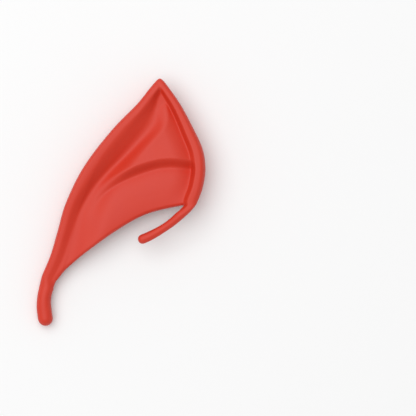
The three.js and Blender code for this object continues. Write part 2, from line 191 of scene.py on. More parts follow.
# Lines and tables are in millimetres, seen from the front, with the tip towards +Y
HELIX_EDGE = SmoothLine(
    (
        (-34.7, -31.8),
        (-31.0, -23.0),
        (-27.9, -12.6),
        (-24.1, 0.1),
        (-16.2, 15.8),
        (-4.1, 31.6),
        (7.2, 43.2),
        (12.6, 49.9),
        (15.9, 53.7),
        (17.2, 54.5),
    )
)
FRONT_EDGE = SmoothLine(
    (
        (33.7, -0.2),
        (36.1, 6.0),
        (37.4, 14.5),
        (36.2, 23.2),
        (32.3, 32.0),
        (26.5, 42.8),
        (21.3, 50.3),
        (18.6, 53.7),
        (17.2, 54.5),
    )
)
MOUTH_EDGE = SmoothLine(
    (
        (-28.0, -34.6),
        (-26.2, -31.8),
        (-23.6, -29.0),
        (-14.2, -21.2),
        (0.9, -10.7),
        (12.8, -4.7),
        (27.6, -1.3),
    )
)
FOLD_LIP = NumberTable(
    ("x", "y"),
    (
        (-16.4, -4.0),
        (-13.4, 2.2),
        (-9.3, 7.2),
        (-2.0, 12.2),
        (6.1, 15.8),
        (14.9, 18.6),
        (22.2, 19.4),
        (30.9, 18.6),
        (38.0, 17.4),
    ),
)
# Heights of the section, and distances from its edges, at shares of the length from the mouth to the tip
SECTIONS = NumberTable(
    (
        "at",
        "helix_edge",
        "helix_crest",
        "helix_inset",
        "helix_flat",
        "scapha",
        "scapha_foot",
        "scapha_reach",
        "middle",
        "front_floor",
        "front_reach",
        "front_crest",
        "front_edge",
        "front_inset",
        "front_flat",
        "front_drop",
        "back",
    ),
    (
        (0.00, 4.2, 7.6, 1.5, 0.8, 6.8, 5.4, 20.0, 12.0, 12.2, 9.0, 14.6, 12.6, 2.4, 1.5, 2.3, -1.2),
        (0.12, 5.4, 9.2, 1.5, 0.9, 8.0, 6.2, 20.0, 12.8, 12.0, 9.0, 14.9, 11.4, 2.5, 1.7, 2.4, -1.4),
        (0.25, 6.8, 10.8, 1.5, 1.0, 9.0, 7.0, 19.0, 13.4, 11.9, 9.0, 15.0, 10.8, 2.5, 1.8, 2.4, -1.4),
        (0.37, 8.0, 12.4, 1.5, 1.2, 9.7, 8.6, 18.0, 13.4, 11.6, 9.0, 14.8, 10.8, 2.4, 1.8, 2.4, -1.0),
        (0.50, 9.2, 13.6, 1.5, 1.4, 10.1, 11.6, 17.2, 13.0, 11.2, 9.0, 14.5, 10.8, 2.2, 1.6, 2.4, 0.2),
        (0.63, 10.0, 14.2, 1.5, 1.4, 10.3, 11.0, 15.8, 12.9, 10.8, 8.6, 14.1, 10.8, 1.9, 1.4, 2.2, 1.6),
        (0.76, 10.4, 14.0, 1.5, 1.3, 10.4, 7.8, 11.2, 12.8, 10.4, 7.2, 13.5, 10.8, 1.6, 1.2, 2.1, 3.4),
        (0.88, 10.4, 13.2, 1.4, 1.2, 10.8, 5.2, 7.0, 12.5, 10.7, 5.0, 12.8, 10.5, 1.5, 1.0, 1.8, 5.6),
        (1.00, 10.2, 11.9, 1.3, 1.1, 11.4, 3.4, 4.2, 11.8, 11.4, 2.6, 11.9, 10.2, 1.3, 1.0, 1.2, 8.6),
    ),
)
TAIL_COLUMNS = ("at", "x", "y", "z", "width", "depth", "gutter")
BACK_TAIL = NumberTable(
    TAIL_COLUMNS,
    (
        (0, -33.0, -38.2, 3.8, 6.5, 7.0, 1),
        (1, -33.7, -41.0, 3.8, 6.3, 6.9, 1),
        (2, -34.0, -44.0, 3.7, 6.4, 6.8, 1),
        (3, -33.9, -47.0, 3.6, 6.7, 6.6, 1),
        (4, -33.4, -51.0, 3.5, 6.6, 6.4, 0),
        (5, -33.0, -54.5, 3.4, 6.4, 6.2, 0),
    ),
)
FRONT_TAIL = NumberTable(
    TAIL_COLUMNS,
    (
        (0, 25.7, -6.1, 12.9, 3.9, 4.1, 0),
        (1, 22.8, -8.6, 12.3, 3.7, 3.9, 0),
        (2, 19.3, -11.1, 11.6, 3.6, 3.8, 0),
        (3, 15.1, -13.6, 10.9, 3.9, 4.0, 0),
        (4, 11.3, -15.5, 10.3, 4.2, 4.2, 0),
        (5, 7.7, -16.9, 9.8, 4.2, 4.2, 0),
    ),
)


@dataclass
class SkinMesh:
    """Points and faces of the latex skin, gathered piece by piece, in millimetres."""

    points: list[np.ndarray] = field(default_factory=list)
    faces: list[tuple[int, ...]] = field(default_factory=list)

    def row(self, points: np.ndarray) -> list[int]:
        """Adds a row of points and gives their numbers."""
        first = len(self.points)
        self.points.extend(points)
        return list(range(first, len(self.points)))

    def strip(self, low: list[int], high: list[int], closed: bool) -> None:
        """Joins two rows of points by four-sided faces.

        Args:
            low: Numbers of the first row's points.
            high: Numbers of the second row's points.
            closed: Whether the rows run all the way round.
        """
        count = len(low)
        for k in range(count if closed else count - 1):
            after = (k + 1) % count
            self.faces.append((low[k], low[after], high[after], high[k]))

    def fan(self, row: list[int], centre: np.ndarray) -> None:
        """Closes a ring of points towards one point."""
        middle = self.row(centre[None])[0]
        for k, here in enumerate(row):
            self.faces.append((here, row[(k + 1) % len(row)], middle))

    def mesh(self, name: str) -> bpy.types.Mesh:
        """Makes one closed mesh in metres, with doubled points merged and faces turned outwards.

        Args:
            name: The mesh's name.

        Returns:
            The mesh.
        """
        mesh = bpy.data.meshes.new(name)
        mesh.from_pydata([tuple(point * MM) for point in self.points], [], self.faces)
        work = bmesh.new()
        work.from_mesh(mesh)
        bmesh.ops.remove_doubles(work, verts=work.verts, dist=MERGE_DISTANCE)
        bmesh.ops.recalc_face_normals(work, faces=work.faces)
        work.to_mesh(mesh)
        work.free()
        mesh.validate()
        return mesh


@dataclass
class EarShell:
    """The hollow shell: front wall with its relief, both rims, back wall and pocket."""

    wall: float = 1.5
    roof_wall: float = 1.7
    mouth_setback: float = 0.075
    mouth_bow: float = 1.3
    inner_end: float = 0.86
    least_pocket: float = 0.4
    inner_inset: float = 1.1
    pocket_rounding: float = 2.0
    rows: int = 92
    tip_level: float = 0.99
    row_bunching: float = 1.1
    column_parts: int = 2
    middle_columns: dict[Wall, int] = field(default_factory=lambda: {Wall.FRONT: 14, Wall.BACK: 7})
    rim_steps: tuple[float, ...] = (0, 0.12, 0.45, 1)
    drop_steps: tuple[float, ...] = (0, 0.18, 0.38, 0.75, 1)
    back_steps: tuple[float, ...] = (0, 0.7, 2.4, 5.2, 9)
    tail_corner: float = 7.25
    corner_gap: tuple[float, float] = (0.8, 3.0)
    corner_gap_until: float = 0.5
    probe_share: float = 0.04
    least_reach: float = 0.3
    widest_zone: float = 0.42
    setback_run: float = 0.12
    slope_round: tuple[float, float] = (0.35, 0.25)
    groove_power: float = 1.6
    helix_extra: float = 0.8
    shoulder: float = 22.0
    fold_lip: float = 1.0
    fold_lip_run: float = 5.5
    fold_face: float = 4.2
    fold_foot: float = 2.4
    fold_foot_run: float = 6.0
    fold_rounding: float = 0.5
    slope_step: float = 0.5
    fold_start: tuple[float, float] = (-17.0, -8.0)
    mouth_roll: float = 1.6
    mouth_roll_run: float = 1.5
    inner_roll: float = 0.6
    least_width: float = 0.001
    first_rows: dict[Face, list[int]] = field(default_factory=dict)

    def section(self, at: np.ndarray | float) -> dict[str, np.ndarray]:
        """Every column of the section table at shares of the length."""
        return {name: SECTIONS.read(name, at) for name in SECTIONS.columns[1:]}

    def fold(self, places: np.ndarray) -> np.ndarray:
        """Height that the crossing fold adds to the front wall.

        Args:
            places: Places seen from the front, one a row.

        Returns:
            One height for each place.
        """
        x, y = places.T
        ends = FOLD_LIP.column("x")[[0, -1]]
        line = [
            FOLD_LIP.read("y", np.clip(x + step, *ends))
            for step in (-self.slope_step, 0.0, self.slope_step)
        ]
        slope = (line[2] - line[0]) / (2 * self.slope_step)
        above = (y - line[1]) / np.hypot(1.0, slope)
        lip = self.fold_lip * np.exp(-np.maximum(above, 0.0) / self.fold_lip_run)
        foot = -self.fold_foot * np.exp(np.minimum(above + self.fold_face, 0.0) / self.fold_foot_run)
        share = np.clip(-above / self.fold_face, 0.0, 1.0)
        share += (ease(share) - share) * self.fold_rounding
        start, full = self.fold_start
        return (lip * (1 - share) + foot * share) * ease((x - start) / (full - start))

    def drops(self, s: dict[str, np.ndarray]) -> list[np.ndarray]:
        """Widths of the slopes inside the helix and inside the front rim."""
        return [s["scapha_foot"] - s["helix_inset"] - s["helix_flat"], s["front_drop"]]

    def rim(self, distance: np.ndarray, crest_end: np.ndarray, drop: np.ndarray) -> np.ndarray:
        """How much of a rim stands over a place.

        Args:
            distance: Distance from the edge.
            crest_end: Distance at which the crest ends.
            drop: Width of the slope from the crest to its foot.

        Returns:
            1 on the crest, 0 past the foot, rounded at both and straight between.
        """
        down = np.clip((distance - crest_end) / drop, 0.0, 1.0)
        crest, foot = self.slope_round
        steepness = 2.0 / (2.0 - crest - foot)
        near_crest = steepness * down * down / (2 * crest)
        near_foot = 1 - steepness * (1 - down) ** 2 / (2 * foot)
        sloped = np.where(down > 1 - foot, near_foot, steepness * (down - crest / 2))
        return 1.0 - np.where(down < crest, near_crest, sloped)

    def front_top(
        self,
        places: np.ndarray,
        s: dict[str, np.ndarray],
        a: np.ndarray,
        b: np.ndarray,
        helix_extra: float = 0.0,
        front_extra: float = 0.0,
    ) -> np.ndarray:
        """Top of the front wall, with each rim made slimmer by an allowance.

        Args:
            places: Places seen from the front, one a row.
            s: The section's values at the places.
            a: Distance of each place from the helix edge.
            b: Distance of each place from the front edge.
            helix_extra: What the helix rim is made slimmer by.
            front_extra: What the front rim is made slimmer by.

        Returns:
            One height for each place.
        """
        ends = [s["helix_inset"] + s["helix_flat"], s["front_inset"] + s["front_flat"]]
        drops = self.drops(s)
        scapha = 1.0 - ease((a - s["scapha_foot"]) / (s["scapha_reach"] - s["scapha_foot"]))
        front = (b - ends[1] - drops[1]) / (s["front_reach"] - drops[1])
        front = (1.0 - np.clip(front, 0.0, 1.0)) ** self.groove_power
        floor = s["middle"] + (s["scapha"] - s["middle"]) * scapha + (s["front_floor"] - s["middle"]) * front
        low = np.maximum(floor, np.minimum(s["scapha"], s["front_floor"])) + self.fold(places) * (1 - scapha)
        on_helix = self.rim(a + helix_extra, ends[0], drops[0])
        on_front = self.rim(b + front_extra, ends[1], drops[1])
        on_rim = 1 - (1 - on_helix) * (1 - on_front)
        both = np.where(on_rim > 0, on_helix + on_front, 1.0)
        crest = (s["helix_crest"] * on_helix + s["front_crest"] * on_front) / both
        return low + (crest - low) * on_rim

    @cached_property
    def mouth_shares(self) -> tuple[float, float]:
        """Shares of the width where the mouth's edge starts and ends."""
        first, last = HELIX_EDGE.point(0)[0], FRONT_EDGE.point(0)[0]
        ends = MOUTH_EDGE.point(np.array([0.0, 1.0]))
        width = np.linalg.norm(last - first)
        return (
            float(np.linalg.norm(ends[0] - first) / width),
            float(1 - np.linalg.norm(last - ends[1]) / width),
        )

    def mouth(self, share: np.ndarray) -> np.ndarray:
        """Lower end of the skin: across the back tail, along the mouth and across the front tail."""
        left, right = self.mouth_shares
        first, last = HELIX_EDGE.point(0)[0], FRONT_EDGE.point(0)[0]
        ends = MOUTH_EDGE.point(np.array([0.0, 1.0]))
        share = share[:, None]
        on_left = first + (ends[0] - first) * share / left
        on_right = ends[1] + (last - ends[1]) * (share - right) / (1 - right)
        on_mouth = MOUTH_EDGE.point(np.clip((share[:, 0] - left) / (right - left), 0.0, 1.0))
        return np.where(share < left, on_left, np.where(share > right, on_right, on_mouth))

    def across(self, at: np.ndarray | float, share: np.ndarray) -> np.ndarray:
        """Places across the ear tip, seen from the front.

        Args:
            at: Shares of the length, or one for all.
            share: Shares of the width, from the helix to the front rim.

        Returns:
            One place a row.
        """
        at = np.broadcast_to(at, share.shape)
        first, last = HELIX_EDGE.point(0)[0], FRONT_EDGE.point(0)[0]
        wide = share[:, None]
        bow = (self.mouth(share) - first - (last - first) * wide) * ((1 - at) ** self.mouth_bow)[:, None]
        left, right = HELIX_EDGE.point(at), FRONT_EDGE.point(at)
        return left + (right - left) * wide + bow

    def outer_height(self, places: np.ndarray, at: np.ndarray, share: np.ndarray, wall: Wall) -> np.ndarray:
        """Height of the outer skin.

        Args:
            places: Places seen from the front, one a row.
            at: Their shares of the length.
            share: Their shares of the width.
            wall: The wall.

        Returns:
            One height for each place.
        """
        s = self.section(at)
        a, b = HELIX_EDGE.distance(places), FRONT_EDGE.distance(places)
        edge = s["helix_edge"] + (s["front_edge"] - s["helix_edge"]) * share
        if wall is Wall.BACK:
            width = np.maximum(np.minimum(self.shoulder, (a + b) / 2), self.least_width)
            depth = quarter(a / width) * quarter(b / width)
            return np.maximum(0.0, edge + (s["back"] - edge) * depth)
        rise = quarter(a / s["helix_inset"]) * quarter(b / s["front_inset"])
        return edge + (self.front_top(places, s, a, b) - self.rolled(places) - edge) * rise

    def rolled(self, places: np.ndarray) -> np.ndarray:
        """How far the front wall rolls down beside the mouth's edge."""
        return self.mouth_roll * (1 - quarter(MOUTH_EDGE.distance(places) / self.mouth_roll_run))

    def inner_height(self, places: np.ndarray, at: np.ndarray, share: np.ndarray, wall: Wall) -> np.ndarray:
        """Heights of the pocket's floor or roof, one wall inside the outer skin.

        Args:
            places: Places seen from the front, one a row.
            at: Their shares of the length.
            share: Their shares of the width.
            wall: The back wall for the floor, the front wall for the roof.

        Returns:
            One height for each place.
        """
        s = self.section(at)
        a, b = HELIX_EDGE.distance(places), FRONT_EDGE.distance(places)
        roof = self.front_top(places, s, a, b, self.helix_extra, self.wall) - self.roof_wall
        roof -= self.rolled(places) * self.inner_roll
        floor = self.outer_height(places, at, share, Wall.BACK) + self.wall
        half = np.maximum((roof - floor) / 2, self.least_pocket)
        rounding = self.pocket_rounding * self.wall
        depth = quarter((a - self.wall) / rounding) * quarter((b - self.wall) / rounding)
        return (roof + floor) / 2 + (half if wall is Wall.FRONT else -half) * depth

    def column_shares(self, at: float, wall: Wall, face: Face) -> np.ndarray:
        """Shares of the width where one row's columns lie.

        Args:
            at: The row's share of the length.
            wall: The wall.
            face: The outer skin or the pocket's.

        Returns:
            The shares, from the helix to the front rim.
        """
        s = self.section(at)
        ends = self.across(at, np.array([0.0, 1.0]))
        width = float(np.linalg.norm(ends[1] - ends[0]))
        inset = self.wall * self.inner_inset if face is Face.INNER else 0.0

        def zone(distances: list[float], line: SmoothLine, probe: float) -> np.ndarray:
            """Turns distances from an edge into shares of the width."""
            crossing = float(line.distance(self.across(at, np.array([probe])))[0]) / self.probe_share
            reach = max(crossing, width * self.least_reach)
            steps = np.array(distances)
            shares = (inset + steps * (1 - 2 * inset / steps[-1])) / reach
            return shares * min(1.0, self.widest_zone / shares[-1])

        def steps(side: int, corner: list[float]) -> list[float]:
            """Distances of the outermost columns from the edge."""
            if wall is Wall.BACK:
                return list(self.back_steps)
            name = ("helix", "front")[side]
            crest, flat = float(s[f"{name}_inset"]), float(s[f"{name}_flat"])
            slope = [crest + flat + step * float(self.drops(s)[side]) for step in self.drop_steps]
            return [step * crest for step in self.rim_steps] + slope + corner

        gap = float(np.interp(at, (0.0, self.corner_gap_until), self.corner_gap))
        corner = max(self.tail_corner, float(s["scapha_foot"]) + gap)
        left = zone(steps(0, [corner]), HELIX_EDGE, self.probe_share)
        right = zone(steps(1, []), FRONT_EDGE, 1 - self.probe_share)
        middle = np.linspace(left[-1], 1 - right[-1], self.middle_columns[wall] + 2)[1:-1]
        return refine(np.concatenate([left, middle, 1 - right[::-1]]), self.column_parts)

    def side(self, at: float, wall: Wall, face: Face) -> np.ndarray:
        """Points of one wall in one row, from the helix to the front rim."""
        share = self.column_shares(at, wall, face)
        here = np.full(share.shape, at)
        if wall is Wall.BACK:
            setback = self.mouth_setback * ease(np.minimum(share, 1 - share) / self.setback_run)
            here = setback + (1 - setback) * at
        places = self.across(here, share)
        height = self.inner_height if face is Face.INNER else self.outer_height
        return np.column_stack([places, height(places, here, share, wall)])

    def ring(self, at: float, face: Face) -> np.ndarray:
        """One row of the skin: over the front wall, then back over the back wall."""
        front, back = self.side(at, Wall.FRONT, face), self.side(at, Wall.BACK, face)
        return np.concatenate([front, back[::-1][1:-1]])

    def build(self, skin: SkinMesh) -> dict[Face, list[np.ndarray]]:
        """Adds both skins of the shell to the mesh.

        Args:
            skin: The mesh in the making, whose first rows become the shell's.

        Returns:
            The points of each skin's rows, from the mouth to the tip.
        """
        levels = [(k / self.rows) ** self.row_bunching for k in range(self.rows)]
        levels = [at for at in levels if at < self.tip_level] + [self.tip_level]
        rows: dict[Face, list[np.ndarray]] = {
            Face.OUTER: [self.ring(at, Face.OUTER) for at in levels],
            Face.INNER: [self.ring(at, Face.INNER) for at in levels if at < self.inner_end],
        }
        for face, rings in rows.items():
            numbers = [skin.row(ring) for ring in rings]
            self.first_rows[face] = numbers[0]
            for low, high in zip(numbers, numbers[1:]):
                skin.strip(low, high, closed=True)
            tip = np.array([*HELIX_EDGE.point(1)[0], SECTIONS.read("helix_edge", 1.0)])
            centre = tip if face is Face.OUTER else rings[-1].mean(axis=0)
            skin.fan(numbers[-1], centre)
        return rows


@dataclass
class Tail:
    """A tail that the mouth's corner runs on into, as a gutter or as a round bar.

    The mouth's columns from first to last run on into it. The corner is the share of them at which
    the mouth's corner lies, and the strands there leave along the mouth's edge.
    """

    name: str
    path: NumberTable
    first: int
    last: int
    angles: tuple[float, ...]
    corner: float
    corner_heading: tuple[float, float]
    corner_power: float = 2.5
    wall: float = 1.5
    bridge_steps: int = 12
    bridge_start: float = 0.7
    step: float = 1.1
    end_rounding: tuple[float, ...] = (14, 28, 42, 55, 67, 78, 88)

    def section(
        self, row: dict[str, float], centre: np.ndarray, heading: np.ndarray, angles: np.ndarray
    ) -> dict[Face, np.ndarray]:
        """Strands of the tail at one station.

        Args:
            row: The section's width, depth and gutter.
            centre: Middle of the section.
            heading: Direction of the tail.
            angles: Where each outer strand lies on the oval, in degrees.

        Returns:
            The outer strands and those of the gutter, or of the rest of the oval where it is closed.
        """
        side = np.array([-heading[1], heading[0], 0.0])
        side /= np.linalg.norm(side)
        up = np.array([0.0, 0.0, 1.0])

        def oval(degrees: np.ndarray, less: float = 0.0) -> np.ndarray:
            """Points on the oval, less a wall on the gutter's inside."""
            turn = np.radians(degrees)
            wide = (row["width"] / 2 - less) * np.cos(turn)
            deep = (row["depth"] / 2 - less) * np.sin(turn)
            return centre + wide[:, None] * side + deep[:, None] * up

        rest = np.linspace(angles[0], angles[-1] + 360.0, len(angles))
        open_side = oval(angles, self.wall)
        closed_side = oval(rest)
        return {
            Face.OUTER: oval(angles),
            Face.INNER: closed_side + (open_side - closed_side) * row["gutter"],
        }

    def stations(
        self, start: dict[Face, np.ndarray], before: dict[Face, np.ndarray], angles: np.ndarray
    ) -> list[dict[Face, np.ndarray]]:
        """Stations of the tail, from next to the mouth to the rounded end.

        Args:
            start: The mouth's points that run on into the tail, by skin.
            before: The same columns' points in the row above the mouth.
            angles: Where each outer strand lies on the oval, in degrees.

        Returns:
            The strands at each station, by skin.
        """
        line = SmoothLine(tuple(zip(*(self.path.column(name) for name in ("x", "y", "z")))))
        length = float(line.lengths[-1])
        radius = float(self.path.column("width")[-1]) / 2
        run = max(1, round((length - radius) / self.step))
        reaches = [((length - radius) * k / run, 1.0) for k in range(run + 1)]
        for angle in np.radians(self.end_rounding):
            reaches.append((length - radius + radius * math.sin(angle), math.cos(angle)))
        sections = []
        for reach, shrink in reaches:
            share = reach / length
            place = float(line.parameter(share)[0])
            row = {name: float(self.path.read(name, place)) for name in ("width", "depth", "gutter")}
            row["width"] *= shrink
            row["depth"] *= shrink
            row["gutter"] = min(max(row["gutter"], 0.0), 1.0)
            sections.append(self.section(row, line.point(share)[0], line.heading(share), angles))
        heading = line.heading(0.0)
        near_corner = 1.0 - np.abs(self.corner - np.linspace(0.0, 1.0, len(angles)))
        pull = near_corner[:, None] ** self.corner_power
        bridges = []
        for k in range(1, self.bridge_steps):
            t = k / self.bridge_steps
            station = {}
            for face in Face:
                origin, target = start[face], sections[0][face]
                reach = np.linalg.norm(target - origin, axis=1)[:, None]
                leave = origin - before[face]
                leave /= np.linalg.norm(leave, axis=1)[:, None]
                leave += (np.array([*self.corner_heading, 0.0]) - leave) * pull
                leave *= reach * self.bridge_start / np.linalg.norm(leave, axis=1)[:, None]
                rise = float(ease(np.array(t)))
                bend = leave * t * (1 - t) ** 2 - heading * reach * t * t * (1 - t)
                station[face] = origin * (1 - rise) + target * rise + bend
            bridges.append(station)
        return bridges + sections

    def build(self, skin: SkinMesh, shell: EarShell, rows: dict[Face, list[np.ndarray]]) -> set[int]:
        """Adds the tail's skins to the mesh.

        Args:
            skin: The mesh in the making.
            shell: The shell, already in the mesh.
            rows: The points of each of the shell's rows.

        Returns:
            The mouth's columns that the tail takes up.
        """
        count = len(rows[Face.OUTER][0])
        parts = shell.column_parts
        picks = [k % count for k in range(self.first * parts, self.last * parts + 1)]
        angles = refine(self.angles, parts)
        start = {face: rows[face][0][picks] for face in Face}
        before = {face: rows[face][1][picks] for face in Face}
        above = {face: [shell.first_rows[face][k] for k in picks] for face in Face}
        for station in self.stations(start, before, angles):
            below = {face: skin.row(station[face]) for face in Face}
            for face in Face:
                skin.strip(below[face], above[face], closed=False)
            for edge in (0, -1):
                corners = (below[Face.OUTER], above[Face.OUTER], above[Face.INNER], below[Face.INNER])
                skin.faces.append(tuple(strand[edge] for strand in corners))
            above = below
        skin.strip(above[Face.OUTER], above[Face.INNER], closed=False)
        return set(picks[:-1])


class SkinTree:
    """Node tree that rounds the moulded skin, lays a fine cast texture over it and gives it its latex."""

    inputs: tuple[tuple[str, str], ...] = (
        ("Rounding Levels", "NodeSocketInt"),
        ("Texture Depth", "NodeSocketFloat"),
        ("Texture Fineness", "NodeSocketFloat"),
        ("Seed", "NodeSocketFloat"),
        ("Latex", "NodeSocketMaterial"),
    )
    noise_middle: float = 0.5

    def __init__(self) -> None:
        """Builds the tree."""
        self.tree = bpy.data.node_groups.new("moulded_skin", "GeometryNodeTree")
        self.tree.interface.new_socket("Geometry", in_out="INPUT", socket_type="NodeSocketGeometry")
        for name, kind in self.inputs:
            self.tree.interface.new_socket(name, in_out="INPUT", socket_type=kind)
        self.tree.interface.new_socket("Geometry", in_out="OUTPUT", socket_type="NodeSocketGeometry")
        given = self.add("NodeGroupInput").outputs
        rounded = self.add("GeometryNodeSubdivisionSurface")
        self.join(given["Geometry"], rounded.inputs["Mesh"])
        self.join(given["Rounding Levels"], rounded.inputs["Level"])
        noise = self.add("ShaderNodeTexNoise", noise_dimensions="4D")
        self.join(self.add("GeometryNodeInputPosition").outputs[0], noise.inputs["Vector"])
        self.join(given["Texture Fineness"], noise.inputs["Scale"])
        self.join(given["Seed"], noise.inputs["W"])
        centred = self.add("ShaderNodeMath", operation="SUBTRACT")
        self.join(noise.outputs[0], centred.inputs[0])
        centred.inputs[1].default_value = self.noise_middle
        height = self.add("ShaderNodeMath", operation="MULTIPLY")
        self.join(centred.outputs[0], height.inputs[0])
        self.join(given["Texture Depth"], height.inputs[1])
        push = self.add("ShaderNodeVectorMath", operation="SCALE")
        self.join(self.add("GeometryNodeInputNormal").outputs[0], push.inputs[0])
        self.join(height.outputs[0], push.inputs["Scale"])
        moved = self.add("GeometryNodeSetPosition")
        self.join(rounded.outputs[0], moved.inputs["Geometry"])
        self.join(push.outputs[0], moved.inputs["Offset"])
        smooth = self.add("GeometryNodeSetShadeSmooth")
        self.join(moved.outputs[0], smooth.inputs[0])
        real = self.add("GeometryNodeRealizeInstances")
        self.join(smooth.outputs[0], real.inputs[0])
        latex = self.add("GeometryNodeSetMaterial")
        self.join(real.outputs[0], latex.inputs["Geometry"])
        self.join(given["Latex"], latex.inputs["Material"])
        self.join(latex.outputs[0], self.add("NodeGroupOutput").inputs[0])

    def add(self, kind: str, **settings: str) -> bpy.types.Node:
        """Adds a node of one type with its settings."""
        node = self.tree.nodes.new(kind)
        for name, value in settings.items():
            setattr(node, name, value)
        return node

    def join(self, source: bpy.types.NodeSocket, target: bpy.types.NodeSocket) -> None:
        """Links two sockets."""
        self.tree.links.new(source, target)

    def apply(self, obj: bpy.types.Object, values: dict[str, object]) -> bpy.types.Mesh:
        """Runs the tree on an object and gives the plain mesh that comes out.

        Args:
            obj: The object with the mesh to start from.
            values: A value for each named input.

        Returns:
            The finished mesh.
        """
        modifier = obj.modifiers.new("moulded_skin", "NODES")
        modifier.node_group = self.tree
        sockets = {item.name: item.identifier for item in self.tree.interface.items_tree}
        for name, value in values.items():
            modifier[sockets[name]] = value
        obj.update_tag()
        graph = bpy.context.evaluated_depsgraph_get()
        mesh = bpy.data.meshes.new_from_object(obj.evaluated_get(graph), depsgraph=graph)
        obj.modifiers.remove(modifier)
        return mesh


class Port:
    """One output of a shader node, with arithmetic that adds Math nodes."""

    def __init__(self, shader: "ShaderMaker", socket: bpy.types.NodeSocket) -> None:
        """Keeps the socket and the maker that adds nodes for it."""
        self.shader = shader
        self.socket = socket

    def _math(self, operation: str, first: "Port | float", second: "Port | float") -> "Port":
        """Adds one Math node."""
        return self.shader.node("ShaderNodeMath", {"operation": operation}, {0: first, 1: second})

    def __add__(self, other: "Port | float") -> "Port":
        """Sum."""
        return self._math("ADD", self, other)

    def __mul__(self, other: "Port | float") -> "Port":
        """Product."""
        return self._math("MULTIPLY", self, other)


class ShaderMaker:
    """Adds the nodes of one material."""

    def __init__(self, name: str) -> None:
        """Starts a material with its Principled shader."""
        self.material = bpy.data.materials.new(name)
        self.material.use_nodes = True
        self.tree = self.material.node_tree
        self.tree.nodes.clear()
        self.shader = self.tree.nodes.new("ShaderNodeBsdfPrincipled")
        output = self.tree.nodes.new("ShaderNodeOutputMaterial")
        self.tree.links.new(self.shader.outputs[0], output.inputs["Surface"])

    def feed(self, socket: bpy.types.NodeSocket, value: "Port | float | tuple[float, ...]") -> None:
        """Links a port to a socket, or sets the socket's value."""
        if isinstance(value, Port):
            self.tree.links.new(value.socket, socket)
        else:
            socket.default_value = value

    def node(
        self, kind: str, settings: dict[str, object], inputs: dict[object, object], output: int = 0
    ) -> Port:
        """Adds any node.

        Args:
            kind: The node's type.
            settings: Its settings, set before its sockets.
            inputs: Values or ports for its sockets, by name, number or identifier.
            output: Which of its outputs is wanted.

        Returns:
            That output.
        """
        node = self.tree.nodes.new(kind)
        for name, value in settings.items():
            setattr(node, name, value)
        by_identifier = {socket.identifier: socket for socket in node.inputs}
        for name, value in inputs.items():
            socket = by_identifier[name] if name in by_identifier else node.inputs[name]
            self.feed(socket, value)
        return Port(self, node.outputs[output])

    def mix(self, factor: "Port | float", first: object, second: object) -> Port:
        """Mixes two colours."""
        colours = {"Factor_Float": factor, "A_Color": first, "B_Color": second}
        return self.node("ShaderNodeMix", {"data_type": "RGBA"}, colours, output=2)

    def noise(self, place: Port, scale: float, detail: float, roughness: float = 0.5) -> Port:
        """Soft noise over the piece."""
        sockets = {"Vector": place, "Scale": scale, "Detail": detail, "Roughness": roughness}
        return self.node("ShaderNodeTexNoise", {}, sockets)


@dataclass(frozen=True)
class LatexFinish:
    """Red moulded latex: coloured all through, semi-matte, with a faint mottle, a fine cast grain and a
    painted highlight that makes its crests paler.
    """

    deep: tuple[float, float, float, float] = (0.60, 0.024, 0.007, 1.0)
    main: tuple[float, float, float, float] = (0.635, 0.035, 0.011, 1.0)
    # Paler colour of the painted highlight on crests, also reached a little by the random grain.
    painted_highlight_and_grain: tuple[float, float, float, float] = (0.68, 0.066, 0.038, 1.0)
    mottle_scale: float = 110.0
    mottle_detail: float = 4.0
    mottle_roughness: float = 0.6
    grain_scale: float = 1500.0
    grain_detail: float = 3.0
    pore_scale: float = 5200.0
    pore_detail: float = 1.0
    painted_highlight_share: float = 0.8
    grain_share: float = 0.06
    grain_height: float = 0.7
    pore_height: float = 0.3
    roughness: float = 0.52
    roughness_spread: float = 0.10
    bump_depth: float = 0.00006
    bump_strength: float = 0.35
    refraction: float = 1.47

    def material(self) -> bpy.types.Material:
        """Makes the material."""
        maker = ShaderMaker("moulded_latex")
        place = maker.node("ShaderNodeTexCoord", {}, {}, output=3)
        crest = maker.node("ShaderNodeAttribute", {"attribute_name": "crest"}, {}, output=2)
        mottle = maker.noise(place, self.mottle_scale, self.mottle_detail, self.mottle_roughness)
        grain = maker.noise(place, self.grain_scale, self.grain_detail)
        pores = maker.noise(place, self.pore_scale, self.pore_detail)
        body = maker.mix(mottle, self.deep, self.main)
        # Painted highlight: the crest attribute mixes convex crests towards the paler colour as if light
        # caught them; the grain adds a little random tone.
        colour = maker.mix(crest * self.painted_highlight_share + grain * self.grain_share, body, self.painted_highlight_and_grain)
        maker.feed(maker.shader.inputs["Base Color"], colour)
        gloss = mottle * self.roughness_spread + (self.roughness - self.roughness_spread / 2)
        maker.feed(maker.shader.inputs["Roughness"], gloss)
        height = grain * self.grain_height + pores * self.pore_height
        relief = {"Strength": self.bump_strength, "Distance": self.bump_depth, "Height": height}
        maker.feed(maker.shader.inputs["Normal"], maker.node("ShaderNodeBump", {}, relief))
        maker.shader.inputs["IOR"].default_value = self.refraction
        return maker.material


@dataclass(frozen=True)
class FloorFinish:
    """Plain pale floor."""

    colour: tuple[float, float, float, float] = (0.92, 0.92, 0.92, 1.0)
    roughness: float = 0.9
    reflection: float = 0.2
    cloud_scale: float = 3.0
    cloud_detail: float = 2.0
    cloud_shade: float = 0.985

    def material(self) -> bpy.types.Material:
        """Makes the material."""
        maker = ShaderMaker("pale_floor")
        place = maker.node("ShaderNodeTexCoord", {}, {}, output=3)
        cloud = maker.noise(place, self.cloud_scale, self.cloud_detail)
        shade = tuple(channel * self.cloud_shade for channel in self.colour[:3]) + (1.0,)
        maker.feed(maker.shader.inputs["Base Color"], maker.mix(cloud, shade, self.colour))
        maker.shader.inputs["Roughness"].default_value = self.roughness
        maker.shader.inputs["Specular IOR Level"].default_value = self.reflection
        return maker.material


